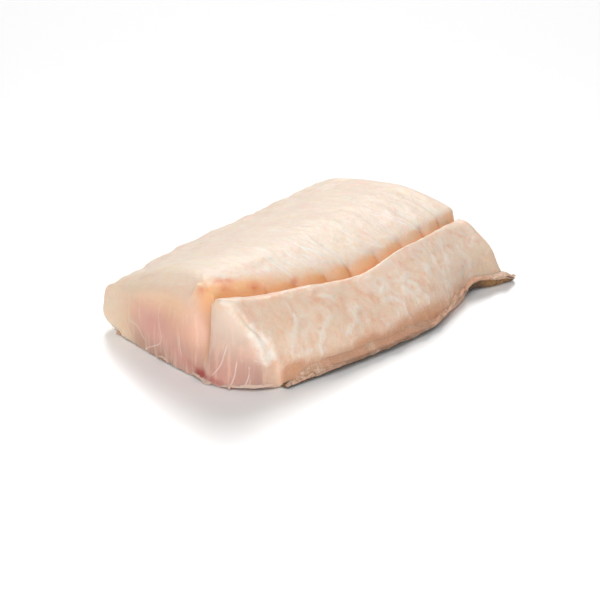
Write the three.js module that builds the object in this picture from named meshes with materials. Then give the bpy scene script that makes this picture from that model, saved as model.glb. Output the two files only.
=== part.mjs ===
// Halibut fillet: a raw loin portion, cut square across the grain and lying on its skin.
// Millimetres. +X runs along the grain from the near cut to the far cut, +Y points to the
// thin outer edge of the main muscle, +Z is up. The origin is the centre of the footprint.
import * as THREE from 'three';
import { mergeVertices } from 'three/addons/utils/BufferGeometryUtils.js';

// Driving dimensions
const LENGTH = 136.5; // from the near cut to the far cut, along the septum
const SKIN_THICKNESS = 1.4;
const SKIN_GAP = 0.3; // clearance between the skin and the flesh that lies on it
const SKIN_MARGIN = 2.6; // how far the skin shows beyond the flesh on the side muscle's side
const SKIN_INSET = 0.3; // how far the skin stays back from the two cuts
const CORNER_MARGIN = 0.8; // the same at the near cut
const FLAP_REACH = 4.2; // loose corner of skin at the far cut, out from the flesh
const FLAP_OVERHANG = 1.2; // the same corner, beyond the far cut
const FLAP_LIFT = 2.8; // the same corner, up off the board
const FLAP_START = 0.81; // share of the length where the corner starts to lift
const SEPTUM_Y = -15.6; // where the septum between the two muscles meets the near cut
const KNIFE_LEAN = 0.1; // how far the near cut leans back, per millimetre of height
const CUT_BULGE = 2.6; // how far the main muscle's near cut swells
const FOOT_SPREAD = 0.9; // how far the near cut's foot sags out

// Sizes that change along the fillet: values at even stations from the near to the far cut
const PROFILE = {
  edgeY: [44.2, 45.6, 46.4, 46.5, 44.6], // widest point of the thin outer edge
  undercut: [9.8, 7.2, 6.5, 6.5, 6.5], // how far its foot tucks in under that point
  edgeZ: [15.2, 15.8, 16.2, 16.2, 18.2], // height where that edge turns in
  shoulderZ: [18.9, 19.7, 20.1, 20.1, 21.3], // height just inside the edge
  crownY: [-5.6, -4.6, -2.1, 1.4, 5.4], // highest line of the main muscle
  crownZ: [34.4, 33.2, 30.8, 28.4, 25.9],
  browRise: [0.55, 0.64, 0.64, 0.62, 0.58], // how full the flank is above the groove, 0 to 1
  browBack: [0.24, 0.24, 0.24, 0.24, 0.12], // where it is that full, share of the flank's width
  grooveY: [-16.2, -20.1, -23.2, -25.4, -26.6, -26.2, -24.2, -20.8, -17.2],
  grooveZ: [29.0, 20.0, 17.0, 17.5, 16.3],
  ridgeZ: [31.6, 28.2, 26.0, 23.0, 21.7, 23.4, 22.3, 20.4, 18.4], // top of the side muscle
  ridgeWidth: [0.36, 0.26, 0.2, 0.2, 0.29], // flat top of the side muscle, share of its width
  footY: [-38.3, -41.7, -44.1, -45.5, -46.0, -45.5, -42.6, -38.6, -39.4], // its outer foot
};

// Mesh density
const STATION_STEPS = 4; // steps between two of the nine stations
const STATIONS = PROFILE.grooveY.length - 1;
const SIDE_SPANS = 3; // spans of the section's outline that belong to each upright side
const SPAN_STEPS = 2; // steps in each span
const SKIN_STEPS = 26; // steps across the skin

const { clamp, lerp, smoothstep } = THREE.MathUtils;
const FLESH_BASE = SKIN_THICKNESS + SKIN_GAP;

// A size at share u of the length, on a smooth curve through its stations
function profileCurve(values) {
  return new THREE.SplineCurve(values.map((value, station) => new THREE.Vector2(station, value)));
}

const CURVES = Object.fromEntries(
  Object.entries(PROFILE).map(([name, values]) => [name, profileCurve(values)]),
);

function sizesAt(u) {
  return Object.fromEntries(Object.entries(CURVES).map(([name, curve]) => [name, curve.getPoint(u).y]));
}

// Outline of the flesh across the grain: up the thin edge, over the crown, down the flank
// into the groove, over the side muscle and down to its foot
function sectionPoints(u) {
  const s = sizesAt(u);
  const span = s.edgeY - s.crownY;
  const fall = s.crownZ - s.shoulderZ;
  const flank = s.crownY - s.grooveY;
  const depth = s.crownZ - s.grooveZ;
  const side = s.grooveY - s.footY;
  return [
    [s.edgeY - s.undercut, FLESH_BASE],
    [s.edgeY - 1.1, 0.25 * s.edgeZ],
    [s.edgeY - 0.2, 0.6 * s.edgeZ],
    [s.edgeY - 1.6, s.edgeZ],
    [s.edgeY - 7.5, s.shoulderZ],
    [s.crownY + 0.5 * span, s.shoulderZ + 0.6 * fall],
    [s.crownY + 0.22 * span, s.shoulderZ + 0.9 * fall],
    [s.crownY, s.crownZ],
    [s.grooveY + 0.6 * flank, s.grooveZ + (0.64 + 0.36 * s.browRise) * depth],
    [s.grooveY + s.browBack * flank, s.grooveZ + s.browRise * depth],
    [s.grooveY + 0.4 * s.browBack * flank, s.grooveZ + 0.55 * s.browRise * depth],
    [s.grooveY + 0.6, s.grooveZ + 0.6],
    [s.grooveY - 0.5, s.grooveZ + 0.6],
    [s.grooveY - 1.6, s.ridgeZ - 0.2],
    [s.grooveY - 0.9 * s.ridgeWidth * side, s.ridgeZ - 0.3],
    [s.grooveY - (0.5 * s.ridgeWidth + 0.34) * side, 0.82 * s.ridgeZ],
    [s.grooveY - 0.78 * side, 0.57 * s.ridgeZ],
    [s.grooveY - 0.9 * side, 0.3 * s.ridgeZ + 0.6],
    [s.footY, FLESH_BASE + 1],
    [s.footY + 1.5, FLESH_BASE],
  ];
}

function sectionCurve(u) {
  return new THREE.SplineCurve(sectionPoints(u).map(([y, z]) => new THREE.Vector2(y, z)));
}

// A soft bump: 1 at the centre and about a third at the width
function lump(value, centre, width) {
  return Math.exp(-(((value - centre) / width) ** 2));
}

// The knife leans a little, the cut swells and its foot sags, and the side muscle's rolls back
function nearCutX(y, z) {
  const lean = 0.155 * Math.max(y - SEPTUM_Y, 0) + KNIFE_LEAN * z;
  const across = smoothstep(y, -17, -8) * (1 - smoothstep(y, 20, 43)) + 0.45 * lump(y, -26, 6);
  const swollen = CUT_BULGE * Math.sin(Math.PI * clamp(z / 33, 0, 1)) * across;
  const spread = lump(y, 8, 16) + 2 * smoothstep(-y, 17, 34);
  const sagged = FOOT_SPREAD * spread * (1 - smoothstep(z, -2, 14));
  const roll = 10.2 * (Math.max(SEPTUM_Y - y, 0) / 20) ** 2.2;
  return lean - swollen - sagged + roll;
}

function farCutX(y) {
  return LENGTH - 0.095 * Math.max(y - SEPTUM_Y, 0);
}

// Height of the skin's underside above the board: none, but for the loose far corner
function cornerLift(u, y, footY) {
  const outwards = smoothstep(footY + 3 - y, 0, 4);
  const falls = 1 - 0.6 * smoothstep(u, 0.9, 1);
  return FLAP_LIFT * smoothstep(u, FLAP_START - 0.05, 0.9) * falls * outwards;
}

// Moves every vertex of a unit box, whose x, y and z become shares a, b and c from 0 to 1
function mappedBox(lengthSteps, acrossSteps, heightSteps, place) {
  const geometry = new THREE.BoxGeometry(1, 1, 1, lengthSteps, acrossSteps, heightSteps);
  geometry.deleteAttribute('normal');
  geometry.deleteAttribute('uv');
  const positions = geometry.attributes.position;
  const point = new THREE.Vector3();
  for (let i = 0; i < positions.count; i += 1) {
    point.fromBufferAttribute(positions, i);
    const placed = place(point.x + 0.5, 0.5 - point.y, point.z + 0.5);
    positions.setXYZ(i, placed.x, placed.y, placed.z);
  }
  const merged = mergeVertices(geometry, 1e-4);
  merged.computeVertexNormals();
  return merged;
}

// A point of the section's patch, stretched between its foot, sides and top
function patchPoint(curve, b, c) {
  const spans = curve.points.length - 1;
  const sideShare = SIDE_SPANS / spans;
  const left = (share) => curve.getPoint(share * sideShare);
  const right = (share) => curve.getPoint(1 - share * sideShare);
  const top = (share) => curve.getPoint(lerp(sideShare, 1 - sideShare, share));
  const foot = (share) => left(0).lerp(right(0), share);
  const upright = foot(b).lerp(top(b), c);
  const sideways = left(c).lerp(right(c), b);
  const corners = foot(0).lerp(foot(1), b).lerp(top(0).lerp(top(1), b), c);
  return upright.add(sideways).sub(corners);
}

// Both muscles and the groove between them, as one block of flesh
function fleshGeometry() {
  const acrossSteps = SPAN_STEPS * (sectionPoints(0).length - 1 - 2 * SIDE_SPANS);
  const heightSteps = SPAN_STEPS * SIDE_SPANS;
  return mappedBox(STATIONS * STATION_STEPS, acrossSteps, heightSteps, (a, b, c) => {
    const { x: y, y: height } = patchPoint(sectionCurve(a), b, c);
    const share = clamp(1 - (height - FLESH_BASE) / 12, 0, 1);
    const lift = cornerLift(a, y, sizesAt(a).footY) * share;
    const z = height + lift;
    return new THREE.Vector3(lerp(nearCutX(y, z), farCutX(y), a), y, z);
  });
}

// The skin under the whole fillet, with its loose corner at the far cut
function skinGeometry() {
  return mappedBox(STATIONS * STATION_STEPS, SKIN_STEPS, 1, (a, b, c) => {
    const { edgeY, footY, undercut } = sizesAt(a);
    const flap = smoothstep(a, FLAP_START, 1);
    const margin = lerp(CORNER_MARGIN, SKIN_MARGIN, smoothstep(a, 0, 0.1));
    const innerY = edgeY - undercut + 0.5;
    const outerY = footY - margin - FLAP_REACH * flap;
    const y = lerp(innerY, outerY, b);
    const z = cornerLift(a, y, footY) + SKIN_THICKNESS * c;
    const overhang = FLAP_OVERHANG * smoothstep(footY + 2 - y, 0, 4);
    const nearX = nearCutX(y, FLESH_BASE) + SKIN_INSET;
    const farX = farCutX(y) - SKIN_INSET + overhang;
    return new THREE.Vector3(lerp(nearX, farX, a), y, z);
  });
}

function namedMesh(name, geometry, material) {
  const mesh = new THREE.Mesh(geometry, material);
  mesh.name = name;
  return mesh;
}

// Stands the fillet on the origin: centred on its footprint, lowest point at z = 0
function centred(group) {
  const box = new THREE.Box3().setFromObject(group);
  const centre = box.getCenter(new THREE.Vector3());
  group.position.set(-centre.x, -centre.y, -box.min.z);
  group.updateMatrixWorld(true);
  return group;
}

const fleshMaterial = new THREE.MeshStandardMaterial({ color: 0xf0d5bd, roughness: 0.35, metalness: 0 });
const skinMaterial = new THREE.MeshStandardMaterial({ color: 0xa07c62, roughness: 0.45, metalness: 0 });

const fillet = new THREE.Group();
fillet.add(namedMesh('flesh', fleshGeometry(), fleshMaterial));
fillet.add(namedMesh('skin', skinGeometry(), skinMaterial));

export default centred(fillet);
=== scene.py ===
import math
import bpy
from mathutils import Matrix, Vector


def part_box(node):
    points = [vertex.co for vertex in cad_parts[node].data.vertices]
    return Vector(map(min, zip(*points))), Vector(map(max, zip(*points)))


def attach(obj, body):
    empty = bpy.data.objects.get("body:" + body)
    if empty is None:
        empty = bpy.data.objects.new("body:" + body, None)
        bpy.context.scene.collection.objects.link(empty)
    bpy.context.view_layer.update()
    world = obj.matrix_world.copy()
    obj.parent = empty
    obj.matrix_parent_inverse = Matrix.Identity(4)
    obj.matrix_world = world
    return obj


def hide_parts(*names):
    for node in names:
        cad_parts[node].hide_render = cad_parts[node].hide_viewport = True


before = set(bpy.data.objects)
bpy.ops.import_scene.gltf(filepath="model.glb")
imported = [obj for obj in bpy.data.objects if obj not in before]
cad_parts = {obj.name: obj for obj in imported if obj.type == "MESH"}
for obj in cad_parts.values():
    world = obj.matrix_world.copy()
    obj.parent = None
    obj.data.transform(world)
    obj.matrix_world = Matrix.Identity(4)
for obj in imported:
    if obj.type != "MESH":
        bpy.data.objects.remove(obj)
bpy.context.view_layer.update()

from types import SimpleNamespace

import bmesh
import bpy
import numpy as np
from mathutils import Matrix, Vector, noise

bl_info = {
    "name": "Halibut Fillet",
    "version": (1, 0, 0),
    "blender": (4, 5, 0),
    "location": "3D View > Sidebar > Fillet",
    "description": "Builds a raw halibut fillet on its skin: two muscles, skin, torn edges and a stage",
    "category": "Add Mesh",
}

MM = 0.001

# ---------------------------------------------------------------------------
# The fillet's form, in millimetres. x runs along the grain from the near cut,
# y points to the thin outer edge, z is up from the board.
# ---------------------------------------------------------------------------

LENGTH = 136.5          # near cut to far cut, along the septum
SKIN_THICKNESS = 1.4
SHRED_THICKNESS = 0.22
SKIN_MARGIN = 2.6       # skin showing beyond the flesh
SKIN_INSET = 0.3        # and short of it at the cuts
FLAP_REACH = 4.2        # how far the loose corner of skin spreads sideways at the far cut
FLAP_OVERHANG = 1.2     # how far it stands out past the cut
FLAP_LIFT = 2.8         # and off the board
FLAP_START = 0.81       # where it begins, as a share of the length
SEPTUM_Y = -15.6        # septum between the muscles, at the near cut
KNIFE_LEAN = 0.1        # how far the near cut leans, for each millimetre of height
FOOT_SPREAD = 0.9       # how far the near cut's foot sags out over the board
CUT_BULGE = 2.6         # how far the main muscle's near cut swells
CUT_ROLL = 10.2         # how far the side muscle's near cut rolls back, 20 mm from the septum
SEPTUM_BOW = 6.8        # how far the wall between the muscles bows out at the near cut
SEPTUM_RECESS = 1.7     # how far the main muscle's near cut steps back beside it
LIP_RISE = 2.1          # how far the side muscle's lip stands off the board
LIP_TUCK = 1.7          # how far its near cut tucks in for each millimetre below that
MAIN_WIDTH = 40         # the muscles' rough widths, for rounding the edges of their cuts
SIDE_WIDTH = 30
FLAKE_ZERO = 14.5       # the flakes' places are counted from this far in front of the near cut
FLESH_BASE = SKIN_THICKNESS + 0.3
FOOT_Z = 0.5            # the flesh sags onto the skin, hiding most of it at the cuts

# Values at even stations from the near cut to the far cut
PROFILE = {
    "edge_y": [44.2, 45.6, 46.4, 46.5, 44.6],
    "undercut": [9.8, 7.2, 6.5, 6.5, 6.5],
    "edge_z": [15.2, 15.8, 16.2, 16.2, 18.2],
    "shoulder_z": [18.9, 19.7, 20.1, 20.1, 21.3],
    "crown_y": [-5.6, -4.6, -2.1, 1.4, 5.4],
    "crown_z": [34.4, 33.2, 30.8, 28.4, 25.9],
    "brow_rise": [0.55, 0.64, 0.64, 0.62, 0.58],
    "brow_back": [0.24, 0.24, 0.24, 0.24, 0.12],
    "groove_y": [-16.2, -20.1, -23.2, -25.4, -26.6, -26.2, -24.2, -20.8, -17.2],
    "groove_z": [29.0, 20.0, 17.0, 17.5, 16.3],
    "ridge_z": [31.6, 28.2, 26.0, 23.0, 21.7, 23.4, 22.3, 20.4, 18.4],
    "ridge_width": [0.36, 0.26, 0.2, 0.2, 0.29],
    "foot_y": [-38.3, -41.7, -44.1, -45.5, -46.0, -45.5, -42.6, -38.6, -39.4],
    "septum_foot_y": [-14.6, -17.0, -19.0, -18.5, -17.6],
    "lip_height": [0.8, 2.2, 2.3, 2.3, 2.1, 2.1, 2.5, 3.0, 3.4, 3.8, 1.6],
    "lip_reach": [1.9, 4.2, 4.4, 4.4, 4.1, 3.5, 1.7, 0.5, 0.6, 2.8, 1.6],
    "rim_thickness": [0.9, 0.8, 0.55, 0.45, 0.45, 0.6, 0.85, 1.1, 1.1, 0.7, 0.8],
    "rim_valley": [0.4, 0.4, 0.4, 0.4, 0.6, 1.0, 1.4, 1.4, 1.0, 0.0, 0.0],
    "crest_knot": [7.6, 7.85, 8.15, 8.5, 8.8, 9.1, 9.3, 9.5, 9.8, 10.1, 10.3],
}

# Knots of the section's outline, counted from the thin edge's foot
EDGE_KNOT = 3
GROOVE_KNOT = 11.5
SIDE_KNOT = 15.5
LAST_KNOT = 19

# Steps of the pieces' meshes: along the length, across and up
MAIN_STEPS = (236, 186, 54)
SIDE_STEPS = (320, 64, 66)
SKIN_STEPS = (270, 120, 10)
SHRED_STEPS = (60, 6)
FULL = 0.999            # a share of the steps that counts as the whole
CREASE_ANGLE = 62       # in degrees; sharper edges are shaded as creases
SEED_STEP = 17.3        # how far apart in the noise two seeds lie
FAR_OFF = 40.0          # further from a seam than it shows

# Where each flake's edge meets the groove, as a flake place, and how plainly it shows
FLAKE_ENDS = [-14, -2, 9, 19, 30, 41.2, 53.8, 68.1, 79.8, 95.6, 111.0, 126.2, 139, 151, 163, 176]
FLAKE_SHOWS = [0.2, 0.2, 0.2, 0.2, 0.2, 0.3, 0.7, 0.4, 0.9, 0.4, 0.6, 0.8, 0.4, 0.3, 0.3, 0.2]

# White threads on top of the main muscle, as (share of the length, outline knot)
TOP_THREADS = [
    [(0.26, 7.4), (0.268, 8.28), (0.28, 9.2)],
    [(0.3, 8.0), (0.315, 8.6), (0.33, 9.0)],
    [(0.375, 8.1), (0.39, 8.5), (0.405, 8.85)],
    [(0.4, 7.6), (0.42, 8.2), (0.435, 8.7)],
    [(0.425, 7.2), (0.435, 7.9), (0.45, 8.6), (0.465, 9.1)],
    [(0.473, 6.8), (0.455, 7.78), (0.46, 8.55), (0.473, 9.2), (0.49, 10.0)],
    [(0.7, 7.2), (0.765, 8.0), (0.78, 8.65), (0.79, 9.2), (0.82, 9.8)],
    [(0.75, 7.4), (0.785, 8.2), (0.8, 8.8)],
    [(0.67, 8.95), (0.695, 9.2), (0.715, 9.4)],
    [(0.605, 8.7), (0.62, 9.2), (0.645, 9.5)],
]

# White sheets between the flakes where the knife crossed them: (y, z) on the near cut
MAIN_SEAMS = [
    [(9.4, 17.5), (8.3, 13.0), (7.4, 8.8), (8.8, 6.2), (12.4, 4.0), (15.6, 2.2), (17.1, 0.9)],
    [(27.5, 9.4), (24.5, 8.9), (21.3, 8.6), (19.6, 7.0), (17.6, 4.9)],
    [(-2.4, 15.5), (-2.8, 11.0), (-3.3, 7.0), (-4.6, 2.4)],
    [(30.5, 9.8), (28.6, 6.8), (26.9, 4.4), (25.4, 2.6)],
]
SIDE_SEAMS = [
    [(-24.6, 18.0), (-23.4, 14.5), (-21.9, 8.9), (-19.0, 4.6), (-17.2, 2.4)],
    [(-27.4, 12.5), (-27.2, 8.9), (-26.9, 5.3), (-25.6, 1.2)],
    [(-30.6, 10.0), (-31.0, 6.0), (-30.2, 2.0)],
]

# The torn white edge of the film where it meets the near cut, and its thickest patches
FILM_EDGE = [
    (-20.5, 31.0), (-24.0, 30.2), (-27.4, 28.0), (-30.0, 24.4), (-32.4, 20.0), (-34.2, 15.2), (-34.9, 10.6),
]
FILM_PATCHES = [
    ((2.0, -24.6, 29.2), 3.2),
    ((4.5, -28.4, 26.2), 2.6),
    ((10.0, -32.9, 17.8), 3.4),
    ((12.0, -34.3, 12.2), 3.0),
]

# Tears and folds of the film on the side muscle, as (share of the length, outline knot)
FILM_STREAKS = [
    [(0.15, 15.1), (0.133, 15.4), (0.105, 15.75), (0.083, 16.1), (0.066, 16.5), (0.062, 16.9)],
    [(0.07, 16.9), (0.09, 17.0), (0.115, 16.85)],
    [(0.24, 15.3), (0.225, 15.58), (0.19, 15.85), (0.173, 16.05), (0.15, 16.5), (0.14, 16.8), (0.135, 17.3)],
    [(0.34, 15.45), (0.318, 15.6), (0.295, 15.8)],
    [(0.3, 15.5), (0.29, 15.85), (0.275, 16.15), (0.255, 16.35), (0.242, 16.5), (0.223, 16.85)],
    [(0.262, 14.6), (0.283, 14.7), (0.292, 15.03)],
    [(0.42, 15.62), (0.44, 15.6), (0.465, 15.75), (0.473, 16.2)],
    [(0.478, 15.1), (0.462, 15.2), (0.453, 15.4)],
    [(0.5, 16.0), (0.515, 15.7), (0.527, 15.56), (0.535, 15.75), (0.525, 15.95), (0.555, 16.05)],
    [(0.555, 15.4), (0.57, 15.6), (0.565, 15.8), (0.562, 16.05)],
    [(0.55, 15.28), (0.565, 15.15), (0.595, 15.08)],
    [(0.56, 16.2), (0.575, 16.5), (0.57, 16.9)],
    [(0.65, 15.2), (0.672, 15.3), (0.655, 15.45), (0.64, 15.7)],
    [(0.74, 14.9), (0.735, 15.1), (0.72, 15.3), (0.715, 15.6)],
    [(0.8, 15.1), (0.785, 15.5), (0.757, 15.62), (0.745, 15.9)],
    [(0.745, 12.95), (0.765, 13.3), (0.77, 13.9)],
    [(0.83, 14.5), (0.815, 14.75), (0.8, 15.0)],
]

# Bruises along the groove's near end: place and radius
BRUISES = [
    ((3.0, -9.6, 31.6), 1.9),
    ((12.4, -10.6, 32.4), 1.5),
    ((12.0, -14.6, 31.0), 1.9),
    ((22.7, -17.6, 28.9), 2.0),
    ((16.0, -12.2, 32.0), 1.5),
    ((40.5, -20.6, 26.2), 1.2),
    ((2.2, -15.6, 26.5), 0.9),
]

# Blood at the septum's foot on the near cut: y and z, their radii, how far it spreads and how deep it is
BLOOD = [
    ((-13.2, 2.9), (3.2, 1.8), (0.2, 1.5), 0.9),
    ((-19.8, 1.9), (4.4, 1.3), (0.1, 1.5), 0.5),
    ((-9.0, 4.6), (5.5, 2.8), (0.1, 1.3), 0.22),
]

# White threads that fan out on the flank: place along and across, their widths, and how plain they are
FANS = [((55, -12), (9, 7), 1.0), ((36, -14), (7, 4), 0.5), ((103, -12), (8, 5), 0.8)]

# Loose shreds along the near cut's foot: (y, z) along each, how far it stands out and how wide it is
SHREDS = [
    ([(-9.0, 1.9), (-11.0, 1.6), (-13.0, 1.4), (-15.4, 1.0), (-17.0, 0.9)], 1.0, 0.8),
    ([(-13.8, 0.9), (-15.6, 0.7), (-17.4, 0.9), (-18.4, 1.3)], 1.3, 1.1),
    ([(-20.5, 1.1), (-22.5, 1.2), (-24.5, 1.5), (-26.5, 1.9)], 0.6, 0.8),
    ([(-26.0, 1.9), (-28.5, 2.0), (-31.0, 2.3), (-33.0, 2.1), (-35.0, 2.3), (-37.5, 2.5)], 0.9, 1.0),
    ([(-25.1, 2.6), (-25.4, 1.5), (-25.8, 0.6)], 1.1, 0.6),
    ([(4.6, 1.4), (6.4, 1.9), (8.2, 1.7), (9.6, 1.3)], 0.8, 0.5),
]

flesh_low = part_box("flesh")[0]
skin_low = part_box("skin")[0]
# Where the form's own zero lies in the frame
SHIFT = np.array([
    flesh_low.x / MM - KNIFE_LEAN * FLESH_BASE,
    skin_low.y / MM - (min(PROFILE["foot_y"]) - SKIN_MARGIN),
    0.0,
])


def smooth(value, low, high):
    """0 below low, 1 above high and a soft rise between."""
    share = np.clip((value - low) / (high - low), 0.0, 1.0)
    return share * share * (3.0 - 2.0 * share)


def lump(value, centre, width):
    """A soft bump: 1 at the centre and about a third at the width."""
    return np.exp(-(((value - centre) / width) ** 2))


def through(rows, place):
    """A smooth curve through evenly spaced rows, read at places 0, 1, 2 and so on."""
    last = len(rows) - 1
    place = np.clip(place, 0, last)
    index = np.minimum(place.astype(int), last - 1)
    share = place - index
    pick = (lambda i: rows[i]) if rows.ndim < 3 else (lambda i: rows[i, np.arange(rows.shape[1])])
    p = [pick(np.clip(index + step, 0, last)) for step in (-1, 0, 1, 2)]
    share = share.reshape(share.shape + (1,) * (p[0].ndim - share.ndim))
    linear = p[2] - p[0]
    square = 2 * p[0] - 5 * p[1] + 4 * p[2] - p[3]
    cube = 3 * p[1] - p[0] - 3 * p[2] + p[3]
    return p[1] + 0.5 * share * (linear + share * (square + share * cube))


def size_at(name, along):
    """A profile's value at each share of the length."""
    values = np.array(PROFILE[name], float)
    return through(values, np.asarray(along, float) * (len(values) - 1))


def section(along):
    """The outline's knots at each share of the length: knots x places x (y, z)."""
    s = SimpleNamespace(**{name: size_at(name, along) for name in PROFILE})
    span = s.edge_y - s.crown_y
    fall = s.crown_z - s.shoulder_z
    flank = s.crown_y - s.groove_y
    depth = s.crown_z - s.groove_z
    side = s.groove_y - s.foot_y
    floor = np.full_like(span, FOOT_Z)
    knots = [
        (s.edge_y - s.undercut, floor),
        (s.edge_y - 1.1, 0.25 * s.edge_z),
        (s.edge_y - 0.2, 0.6 * s.edge_z),
        (s.edge_y - 1.6, s.edge_z),
        (s.edge_y - 7.5, s.shoulder_z),
        (s.crown_y + 0.5 * span, s.shoulder_z + 0.6 * fall),
        (s.crown_y + 0.22 * span, s.shoulder_z + 0.9 * fall),
        (s.crown_y, s.crown_z),
        (s.groove_y + 0.6 * flank, s.groove_z + (0.64 + 0.36 * s.brow_rise) * depth),
        (s.groove_y + s.brow_back * flank, s.groove_z + s.brow_rise * depth),
        (s.groove_y + 0.4 * s.brow_back * flank, s.groove_z + 0.55 * s.brow_rise * depth),
        (s.groove_y + 0.6, s.groove_z + 0.6),
        (s.groove_y - 0.5, s.groove_z + 0.6),
        (s.groove_y - 1.6, s.ridge_z - 0.2),
        (s.groove_y - 0.9 * s.ridge_width * side, s.ridge_z - 0.3),
        (s.groove_y - (0.5 * s.ridge_width + 0.34) * side, 0.82 * s.ridge_z),
        (s.groove_y - 0.78 * side, 0.57 * s.ridge_z),
        (s.groove_y - 0.9 * side, 0.3 * s.ridge_z + 0.6),
        (s.foot_y, floor + 1),
        (s.foot_y + 1.5, floor),
    ]
    return np.array([np.stack(knot, axis=-1) for knot in knots])


def near_cut_x(y, z):
    """The knife leans a little, the cut swells and its foot sags, and the side muscle's rolls back."""
    lean = 0.155 * np.maximum(y - SEPTUM_Y, 0) + KNIFE_LEAN * z
    across = smooth(y, -17, -8) * (1 - smooth(y, 20, 43)) + 0.45 * lump(y, -26, 6)
    swollen = CUT_BULGE * np.sin(np.pi * np.clip(z / 33, 0, 1)) * across
    sagged = FOOT_SPREAD * (lump(y, 8, 16) + 2 * smooth(-y, 17, 34)) * (1 - smooth(z, -2, 14))
    return lean - swollen - sagged + CUT_ROLL * (np.maximum(SEPTUM_Y - y, 0) / 20) ** 2.2


def far_cut_x(y):
    return LENGTH - 0.095 * np.maximum(y - SEPTUM_Y, 0)


def behind_near_cut(points):
    """How far each point is behind the near cut."""
    x, y, z = points.T
    return x - near_cut_x(y, z)


def by_near_cut(points, close, away):
    """1 by the near cut, falling to 0 between two distances behind it."""
    return 1 - smooth(behind_near_cut(points), close, away)


def corner_lift(along, y):
    """How far the loose far corner stands off the board."""
    outwards = smooth(size_at("foot_y", along) + 3 - y, 0, 4)
    return FLAP_LIFT * smooth(along, FLAP_START - 0.05, 0.9) * (1 - 0.6 * smooth(along, 0.9, 1)) * outwards


def stand(along, section_points):
    """Lays sections out along the grain between the two cuts, with the far corner lifted."""
    y, z = section_points[:, 0], section_points[:, 1]
    z = z + corner_lift(along, y) * np.clip(1 - (z - FLESH_BASE) / 12, 0, 1)
    near = near_cut_x(y, z)
    return np.stack([near + (far_cut_x(y) - near) * along, y, z], axis=-1)


def fine(curve):
    """A smooth curve through a few places, as one row of close values for each of its numbers."""
    curve = np.array(curve, float)
    return through(curve, np.linspace(0, len(curve) - 1, 6 * len(curve))).T


def on_surface(curve):
    """Points on the form along a curve of (share of the length, outline knot) places."""
    along, knot = fine(curve)
    return stand(along, through(section(along), knot))


def on_near_cut(curve):
    """Points on the near cut along a curve of (y, z) places."""
    y, z = fine(curve)
    return np.stack([near_cut_x(y, z), y, z], axis=-1)


def on_far_cut(curve):
    """The same curve as it shows on the lower far cut."""
    y, z = fine(np.array(curve, float) * (0.96, 0.7) + (3.0, 0.6))
    return np.stack([far_cut_x(y), y, z], axis=-1)


def on_both_cuts(curves):
    """Seams run through the flesh, so each shows on both cuts."""
    return [on_near_cut(c) for c in curves] + [on_far_cut(c) for c in curves]


def along_pieces(points, line):
    """For each straight piece of a line: how far along it each point lies, as a share, the
    gap from there to the point, and the piece itself."""
    for start, end in zip(line, line[1:]):
        way = end - start
        share = np.clip((points - start) @ way / max(way @ way, 1e-9), 0, 1)
        yield share, points - start - share[:, None] * way, way


def line_distance(points, line):
    """Distance in millimetres from each point to a line."""
    return np.min([np.linalg.norm(gap, axis=1) for _, gap, _ in along_pieces(points, line)], axis=0)


def strokes(points, lines, width):
    """1 along the middle of some tapering lines, falling to 0 over the width."""
    best = np.zeros(len(points))
    for line in lines:
        steps = np.linalg.norm(np.diff(line, axis=0), axis=1)
        reached = np.concatenate([[0], np.cumsum(steps)]) / max(steps.sum(), 1e-9)
        for (share, gap, _), first, last in zip(along_pieces(points, line), reached, reached[1:]):
            place = first + (last - first) * share
            taper = 0.35 + 0.65 * np.sin(np.pi * np.clip(place, 0, 1)) ** 0.7
            stroke = lump(np.linalg.norm(gap, axis=1), 0, width * taper)
            best = np.maximum(best, stroke * (0.5 + 0.5 * taper))
    return best


def rough(points, size, seed, octaves=2):
    """Seeded noise from about -1 to 1, with lumps of the given size in millimetres."""
    places = (points / size + SEED_STEP * seed).tolist()
    return np.array([noise.fractal(place, 1.0, 2.1, octaves) for place in places])


def drifted(points, reach, size, seed):
    """Points pushed about by noise, as far as the reach, with lumps of the given size."""
    return points + reach * np.stack([rough(points, size, seed + k) for k in range(3)], axis=-1)


# ---------------------------------------------------------------------------
# Meshes
# ---------------------------------------------------------------------------


def block(steps, open_bottom=False):
    """A unit block cut into steps along each axis. Its bottom is one face where it's open."""
    bm = bmesh.new()
    bmesh.ops.create_cube(bm, size=1.0)
    for axis in range(3):
        edges = [e for e in bm.edges if abs((e.verts[0].co - e.verts[1].co)[axis]) > 1e-4]
        bmesh.ops.subdivide_edges(bm, edges=edges, cuts=steps[axis] - 1, use_grid_fill=True)
    if open_bottom:
        bm.normal_update()
        under = [f for f in bm.faces if f.normal.z < -0.5]
        bmesh.ops.delete(bm, geom=under, context="FACES")
        rim = [e for e in bm.edges if e.is_boundary]
        bmesh.ops.holes_fill(bm, edges=rim, sides=0)
    return bm


def shares_of(bm):
    """Each vertex's shares: along the length, across from the thin edge, and up."""
    co = points_of(bm) + 0.5
    return co[:, 0], 1.0 - co[:, 1], co[:, 2]


def points_of(bm):
    return np.array([v.co for v in bm.verts])


def set_points(bm, points):
    for vert, point in zip(bm.verts, points.tolist()):
        vert.co = point


def push(bm, distance):
    """Moves each vertex outwards along its normal."""
    bmesh.ops.recalc_face_normals(bm, faces=bm.faces)
    bm.normal_update()
    normals = np.array([v.normal for v in bm.verts])
    set_points(bm, points_of(bm) + normals * distance[:, None])


def soften(bm, chosen, rounds):
    """Rounds an edge by relaxing the vertices around it."""
    verts = [v for v, near in zip(bm.verts, chosen) if near]
    axes = {"use_axis_x": True, "use_axis_y": True, "use_axis_z": True}
    for _ in range(rounds):
        bmesh.ops.smooth_vert(bm, verts=verts, factor=0.5, **axes)


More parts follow.
